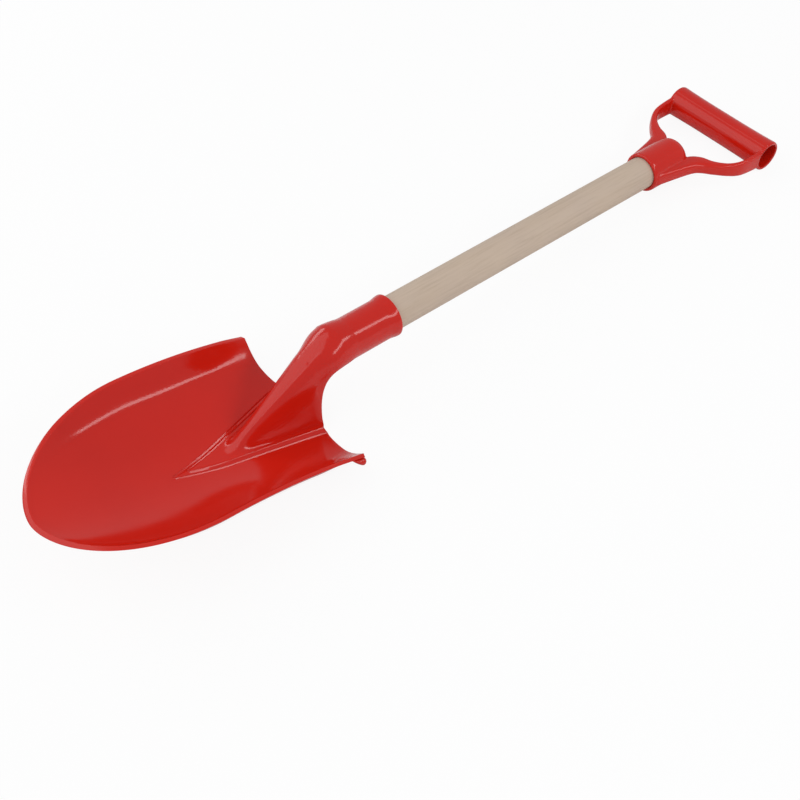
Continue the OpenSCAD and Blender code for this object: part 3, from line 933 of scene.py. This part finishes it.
def bare_wood():
    """Sanded wood: streaks and bands along the dowel, and patches of another tone."""
    material, tree, shader, place = new_material("bare_wood")
    tilt = math.asin(-ahead.z)
    level = wire(tree, "ShaderNodeMapping", (-1000, 0), {
        "Vector": place, "Rotation": (0, -tilt, 0)})
    fibre = wire(tree, "ShaderNodeMapping", (-800, 0), {
        "Vector": level.outputs["Vector"], "Scale": (FIBRE_SQUEEZE, 1, 1)})
    streaks = wire(tree, "ShaderNodeTexNoise", (-600, 200), {
        "Vector": fibre.outputs["Vector"], "Scale": 700, "Detail": 6, "Roughness": 0.6})
    broad = wire(tree, "ShaderNodeTexNoise", (-600, 0), {
        "Vector": fibre.outputs["Vector"], "Scale": 130, "Detail": 3, "Roughness": 0.5,
        "Distortion": 0.4})
    patches = wire(tree, "ShaderNodeTexNoise", (-600, -200), {
        "Vector": level.outputs["Vector"], "Scale": 22, "Detail": 2, "Roughness": 0.5})
    tone = ramp(tree, patches.outputs["Fac"], [(0.38, GREYISH), (0.66, PALE)], (-350, -200))
    grain = ramp(tree, broad.outputs["Fac"], [(0.3, HONEY), (0.55, PALE)], (-350, 0))
    body = wire(tree, "ShaderNodeMix", (-100, 0), {0: 0.5, 6: tone, 7: grain}, data_type="RGBA")
    lines = ramp(tree, streaks.outputs["Fac"],
                 [(0.30, STREAK_TINT), (0.52, (1, 1, 1))], (-350, 200))
    colour = wire(tree, "ShaderNodeMix", (100, 0), {
        0: 0.5, 6: body.outputs[2], 7: lines}, data_type="RGBA", blend_type="MULTIPLY")
    rough = span(tree, streaks.outputs["Fac"], NAP_ROUGH, SANDED_ROUGH, (-100, -300))
    nap = wire(tree, "ShaderNodeBump", (100, -300), {
        "Height": streaks.outputs["Fac"], "Strength": 0.25, "Distance": 0.0003})
    tree.links.new(colour.outputs[2], shader.inputs["Base Color"])
    tree.links.new(rough, shader.inputs["Roughness"])
    tree.links.new(nap.outputs["Normal"], shader.inputs["Normal"])
    return material


wood = bare_wood()
print("made", wood.name)

# %% [markdown]
# The dowel itself is spun, as the sockets are, with a small chamfer at both ends. The sockets hide
# its ends, but they are there, 1 mm short of each socket's floor.

# %% Turn the dowel
CHAMFER = 0.001
dowel_start = -BLADE_SOCKET_L
dowel_end = BARE_L + GRIP_SOCKET_L
dowel = turned([
    (dowel_start, 0), (dowel_start, SHAFT_R - CHAMFER), (dowel_start + CHAMFER, SHAFT_R),
    (dowel_end - CHAMFER, SHAFT_R), (dowel_end, SHAFT_R - CHAMFER), (dowel_end, 0)], "dowel")
finish_piece(dowel, "wooden_shaft", wood, "shaft")

# %% [markdown]
# ## The grip
# The grip is moulded in one piece: a socket, two flat arms that spread from it, and a hollow bar
# for the hand. Where these meet, the plastic flows together in soft fillets. A subdivided cage
# could flow like that too, but it is hard to keep its sockets round. So the solids are joined and
# drilled with sharp edges first; a voxel remesh then gives the whole surface even faces, and a
# light smoothing turns every inner edge into a fillet. The remesh leaves faint steps, which would
# make a highlight wavy, so what lies on the round of the bar or the socket is drawn back onto it.

# %% Sizes of the grip
GRIP_WALL = 0.0026
GRIP_R = BORE_R + GRIP_WALL
GRIP_TUBE_L = GRIP_SOCKET_L + END_GAP + SOCKET_FLOOR
GRIP_REACH = BAR_X - BARE_L
MOUTH_R = 0.0012
DOME_R = 0.008
DOME_STEPS = 10
BAR_L = 0.084
BAR_R = 0.0103
BAR_FLARE = 0.0006
BAR_FLARE_POWER = 3
BAR_STEPS = 8
BAR_BORE_R = 0.0087
BAR_EDGE_R = 0.0008
print("grip", round(1000 * GRIP_REACH, 1), "mm from its mouth to the middle of its bar")


# %% The socket and the bar
def grip_socket():
    """The socket before it is drilled, with a rounded mouth and a domed end."""
    end = BARE_L + GRIP_TUBE_L
    mouth = rounding(BARE_L + MOUTH_R, GRIP_R - MOUTH_R, MOUTH_R, 180, 90)
    dome = rounding(end - DOME_R, GRIP_R - DOME_R, DOME_R, 90, 0, DOME_STEPS)
    return turned([(BARE_L, 0), *mouth, *dome, (end, 0)], "grip_socket")


def bar_r(y):
    """The bar grows a little to both ends."""
    return BAR_R + BAR_FLARE * (abs(y) / (BAR_L / 2)) ** BAR_FLARE_POWER


def turned_across(profile, name):
    """A solid of revolution about the bar's own line, which runs across the shovel."""
    piece = turned(profile, name)
    across = Matrix.Translation((BAR_X, 0, 0)) @ Matrix.Rotation(math.pi / 2, 4, "Z")
    piece.data.transform(across)
    return piece


def bar():
    """The bar before it is drilled, with its edges cut at both ends."""
    half = BAR_L / 2
    straight = half - BAR_EDGE_R
    end_r = BAR_R + BAR_FLARE - BAR_EDGE_R
    marks = [straight * k / BAR_STEPS for k in range(-BAR_STEPS, BAR_STEPS + 1)]
    middle = [(y, bar_r(y)) for y in marks]
    return turned_across([(-half, 0), (-half, end_r), *middle, (half, end_r), (half, 0)], "bar")


def bar_bore():
    """The drill for the bar."""
    half = BAR_L / 2 + OVER
    return turned_across(
        [(-half, 0), (-half, BAR_BORE_R), (half, BAR_BORE_R), (half, 0)], "bar_bore")


print("bar", round(2000 * bar_r(0), 1), "to", round(2000 * bar_r(BAR_L / 2), 1), "mm thick")

# %% [markdown]
# Each arm is a blunt oval section swept along the grip. A plain tube along a curve would keep one
# width, and the real arm doesn't, so two smooth curves in plan, one for its outer and one for its
# inner edge, give the middle and the width of every section. Their points are shares: of the way
# from the socket's mouth to the bar, and of the way out from the socket's side to the bar's end.

# %% The arms
ARM_H = 0.009
ARM_END_H = 0.014
ARM_GROWS = 0.5
ARM_SQUARE = 0.6
ARM_SIDES = 32
ARM_STEPS = 6
OUTER = ((0.03, 0.018), (0.225, 0.138), (0.373, 0.254), (0.432, 0.364), (0.497, 0.569),
         (0.586, 0.802), (0.686, 0.951), (0.83, 0.993), (0.953, 0.993))
INNER = ((0.03, -0.131), (0.225, -0.131), (0.408, -0.166), (0.507, 0.046), (0.546, 0.371),
         (0.617, 0.668), (0.71, 0.823), (0.83, 0.859), (0.953, 0.859))


def on_plan(shares):
    """A point of the arm's plan, in metres."""
    along, out = shares
    return Vector((BARE_L + along * GRIP_REACH, GRIP_R + out * (BAR_L / 2 - GRIP_R)))


def spline(points, n):
    """A smooth curve through the points, with n steps between each two."""
    ends = [points[0], *points, points[-1], points[-1]]
    found = []
    for k in range(n * (len(points) - 1) + 1):
        i, t = divmod(k / n, 1)
        a, b, c, d = ends[int(i):int(i) + 4]
        found.append((2 * b + (c - a) * t + (2 * a - 5 * b + 4 * c - d) * t * t
                      + (3 * b - a - 3 * c + d) * t ** 3) / 2)
    return found


def blunt(c):
    """Makes a circle's cosine or sine that of a blunter oval."""
    return math.copysign(abs(c) ** ARM_SQUARE, c)


def arm_ring(outer, inner, along, turn):
    """The section between two points of the plan; it grows taller towards the bar."""
    middle = (outer + inner) / 2
    reach = (outer - inner) / 2
    height = mix(ARM_H, ARM_END_H, ease((along - ARM_GROWS) / (1 - ARM_GROWS))) / 2
    for k in range(ARM_SIDES):
        a = math.tau * k / ARM_SIDES
        p = middle + blunt(math.cos(a)) * reach
        yield Vector((p.x, turn * p.y, height * blunt(math.sin(a))))


def arm(turn):
    """One arm, on the side that turn gives."""
    outer = spline([on_plan(p) for p in OUTER], ARM_STEPS)
    inner = spline([on_plan(p) for p in INNER], ARM_STEPS)
    bm = bmesh.new()
    ring = bmesh.ops.create_circle(bm, cap_ends=True, segments=ARM_SIDES, radius=1)["verts"]
    for i, (a, b) in enumerate(zip(outer, inner)):
        if i:
            ring = next_line(bm, [*ring, ring[0]])[:-1]
        for v, place in zip(ring, arm_ring(a, b, i / (len(outer) - 1), turn)):
            v.co = place
    bmesh.ops.contextual_create(bm, geom=ring)
    return made(bm, "arm")


print("arms of", ARM_STEPS * (len(OUTER) - 1) + 1, "sections")

# %% [markdown]
# After the remesh, a vertex that lies almost on the round of the bar or the socket is stretched to
# its exact radius. The pull fades out over a fraction of a millimetre, so that the fillets beside
# the round are left as they are.

# %% True up the round surfaces
TRUE_WITHIN = 0.00012
TRUE_FADE = 0.0003


def trued(out, radius):
    """The share by which a distance from an axis is stretched to reach the radius."""
    near = 1 - ease((abs(out - radius) - TRUE_WITHIN) / TRUE_FADE)
    return mix(1, radius / out, near)


def true_up(mesh):
    """Draws the vertices near the bar's and the socket's outer surfaces onto them."""
    socket_end = BARE_L + GRIP_TUBE_L - DOME_R
    for v in mesh.vertices:
        x, y, z = v.co
        if BARE_L + 2 * MOUTH_R < x < socket_end:
            k = trued(math.hypot(y, z), GRIP_R)
            v.co = (x, k * y, k * z)
        elif abs(y) < BAR_L / 2 - 2 * BAR_EDGE_R and x > socket_end:
            k = trued(math.hypot(x - BAR_X, z), bar_r(y))
            v.co = (BAR_X + k * (x - BAR_X), y, k * z)


print("true within", round(1000 * TRUE_WITHIN, 2), "mm")

# %% Join the grip, drill it and soften it
# Finer voxels would take the grip past 200,000 triangles
VOXEL = 0.00055
SOFT_SHARE = 0.5
SOFT_ROUNDS = 11
grip = combine(grip_socket(), [bar(), arm(1), arm(-1)], "UNION")
grip_bore = dowel_bore(BARE_L - OVER, GRIP_SOCKET_L + END_GAP + OVER)
combine(grip, [grip_bore, bar_bore()], "DIFFERENCE")
even = grip.modifiers.new("even", "REMESH")
even.mode = "VOXEL"
even.voxel_size = VOXEL
soften = grip.modifiers.new("soften", "SMOOTH")
soften.factor = SOFT_SHARE
soften.iterations = SOFT_ROUNDS
settle(grip)
true_up(grip.data)
finish_piece(grip, "moulded_grip", red, "grip")

# %% [markdown]
# ## The nails
# One nail from below holds the dowel in each socket. They could be spun as the other round pieces
# are, but the frame already has them at their true shape, so only their finish is made here: drawn
# steel, with fine marks that vary its tone and its gloss.

# %% Bright steel
STEEL_DARK = (0.50, 0.50, 0.51)
STEEL_LIGHT = (0.66, 0.66, 0.67)
STEEL_GLOSS = 0.24
STEEL_DULL = 0.42


def bright_steel():
    """Bare steel wire: bright, with fine marks."""
    material, tree, shader, place = new_material("bright_steel")
    marks = wire(tree, "ShaderNodeTexNoise", (-700, 0), {
        "Vector": place, "Scale": 2500, "Detail": 4, "Roughness": 0.6})
    tint = ramp(tree, marks.outputs["Fac"],
                [(0.3, STEEL_DARK), (0.7, STEEL_LIGHT)], (-400, 200))
    rough = span(tree, marks.outputs["Fac"], STEEL_GLOSS, STEEL_DULL, (-400, 0))
    shader.inputs["Metallic"].default_value = 1
    tree.links.new(tint, shader.inputs["Base Color"])
    tree.links.new(rough, shader.inputs["Roughness"])
    return material


steel = bright_steel()
for name in ("blade_nail", "grip_nail"):
    nail = frame["nodes"][name]
    nail.data.materials.clear()
    nail.data.materials.append(steel)
print("nails finished")

# %% [markdown]
# ## The table
# The photograph's background is white. Stronger lamps could bleach the table, but they would bleach
# the wood as well. So the table is pale paper that shows the camera mostly a white of its own, and
# to a small part its real surface, which keeps the shovel's soft shadow.

# %% The table
PAPER = 0.86
OWN_WHITE = 0.92
TABLE_SIZE = 60


def pale_table():
    """Paper that is nearly white to the camera and a pale grey to everything else."""
    material = bpy.data.materials.new("pale_table")
    material.use_nodes = True
    tree = material.node_tree
    tree.nodes.clear()
    paper = wire(tree, "ShaderNodeBsdfDiffuse", (-300, 100), {"Color": (PAPER, PAPER, PAPER, 1)})
    bright = wire(tree, "ShaderNodeEmission", (-300, -100), {"Color": (1, 1, 1, 1), "Strength": 1})
    path = wire(tree, "ShaderNodeLightPath", (-700, 200))
    seen = wire(tree, "ShaderNodeMath", (-500, 200), {
        0: path.outputs["Is Camera Ray"], 1: OWN_WHITE}, operation="MULTIPLY")
    both = wire(tree, "ShaderNodeMixShader", (-100, 0), {
        0: seen.outputs[0], 1: paper.outputs[0], 2: bright.outputs[0]})
    wire(tree, "ShaderNodeOutputMaterial", (100, 0), {"Surface": both.outputs[0]})
    return material


table_bm = bmesh.new()
bmesh.ops.create_grid(table_bm, x_segments=4, y_segments=4, size=TABLE_SIZE / 2)
table = made(table_bm, "table")
table.data.materials.append(pale_table())
print("table", TABLE_SIZE, "m wide")

# %% [markdown]
# ## The room
# An even, slightly cool light comes from all round, as in a white room, and it fills the shadows.
# Where the camera looks past the table it sees plain white.

# %% The world
SURROUND = 0.54
ROOM_TINT = (0.96, 0.98, 1, 1)
world = bpy.data.worlds.new("studio")
world.use_nodes = True
bpy.context.scene.world = world
sky = world.node_tree
sky.nodes.clear()
path = wire(sky, "ShaderNodeLightPath", (-700, 200))
room = wire(sky, "ShaderNodeBackground", (-300, 100), {
    "Color": ROOM_TINT, "Strength": SURROUND})
backdrop = wire(sky, "ShaderNodeBackground", (-300, -100), {"Color": (1, 1, 1, 1), "Strength": 1})
shown = wire(sky, "ShaderNodeMixShader", (-100, 0), {
    0: path.outputs["Is Camera Ray"], 1: room.outputs[0], 2: backdrop.outputs[0]})
wire(sky, "ShaderNodeOutputWorld", (100, 0), {"Surface": shown.outputs[0]})
print("the room's light is", SURROUND, "of white")

# %% [markdown]
# ## The lamps
# Gloss shows what it mirrors, so the lamps stand where the photograph's reflections ask for them:
# - the far softbox is the broad main light from above;
# - the left softbox stands beyond the tip and lights what faces it, such as the front of the neck;
# - the near strip draws the line along the knee of the far wall and the lines of the V;
# - the far strip lights the near wall, whose inner side faces it;
# - the grip's own lamp, narrowed by a grid, draws the stripe along the bar.
#
# Sun or point lamps would give small, hard sparks instead. A lamp is set by the brightness of its
# surface and not by its power, so a larger softbox gives a larger reflection, not a brighter one.

# %% The lamps
def softbox(name, at, aim, turned_by, size, radiance, spread=180):
    """A rectangular lamp that faces the aim; a narrow spread is that of a lamp behind a grid."""
    light = bpy.data.lights.new(name, "AREA")
    light.shape = "RECTANGLE"
    light.size, light.size_y = size
    light.spread = math.radians(spread)
    half = light.spread / 2
    light.energy = math.pi * radiance * size[0] * size[1] * (1 - half / math.tan(half))
    lamp = bpy.data.objects.new(name, light)
    facing = (Vector(aim) - Vector(at)).to_track_quat("-Z", "Y").to_matrix().to_4x4()
    spun = Matrix.Rotation(math.radians(turned_by), 4, "Z")
    lamp.matrix_world = Matrix.Translation(at) @ facing @ spun
    bpy.context.scene.collection.objects.link(lamp)
    print(name, round(light.energy, 3), "W")


softbox("far_softbox", at=(-0.75, 0.5, 1.0), aim=(-0.1, 0, 0.03), turned_by=0,
        size=(1.4, 1.1), radiance=0.95)
softbox("left_softbox", at=(-1.05, -0.3, 0.85), aim=(-0.05, 0, 0.03), turned_by=0,
        size=(0.25, 0.7), radiance=1.3)
softbox("near_strip", at=(0.24, -0.86, 0.76), aim=(-0.17, 0, 0.03), turned_by=0,
        size=(1.5, 0.2), radiance=5)
softbox("far_strip", at=(-0.2, 0.98, 0.52), aim=(-0.15, 0, 0.03), turned_by=0,
        size=(0.6, 0.3), radiance=3)
softbox("grip_light", at=(0.33, 0.47, 1.0), aim=(0.25, 0, 0.02), turned_by=90,
        size=(0.5, 0.16), radiance=0.8, spread=30)

# %% [markdown]
# ## The camera
# The camera stands where the photograph was taken from: above the tip of the scoop and to its near
# side, looking down at about 51 degrees and turned a little about its own line of sight. `Track to`
# would need a target and can't turn the picture, so the camera's matrix is worked out here.

# %% The camera
CAMERA_AT = Vector((-0.3504, -0.4044, 0.5905))
CAMERA_AIM = Vector((-0.0677, -0.0453, 0.0200))
CAMERA_ROLL = math.radians(2.319)
FOCAL_LENGTH = 56.25
SENSOR_WIDTH = 36
lens = bpy.data.cameras.new("camera")
lens.lens = FOCAL_LENGTH
lens.sensor_width = SENSOR_WIDTH
camera = bpy.data.objects.new("camera", lens)
level = (CAMERA_AIM - CAMERA_AT).to_track_quat("-Z", "Y").to_matrix().to_4x4()
rolled = Matrix.Rotation(-CAMERA_ROLL, 4, "Z")
camera.matrix_world = Matrix.Translation(CAMERA_AT) @ level @ rolled
bpy.context.scene.collection.objects.link(camera)
bpy.context.scene.camera = camera
bpy.context.scene.view_settings.view_transform = "Standard"
print("camera", round((CAMERA_AIM - CAMERA_AT).length, 2), "m from what it looks at")
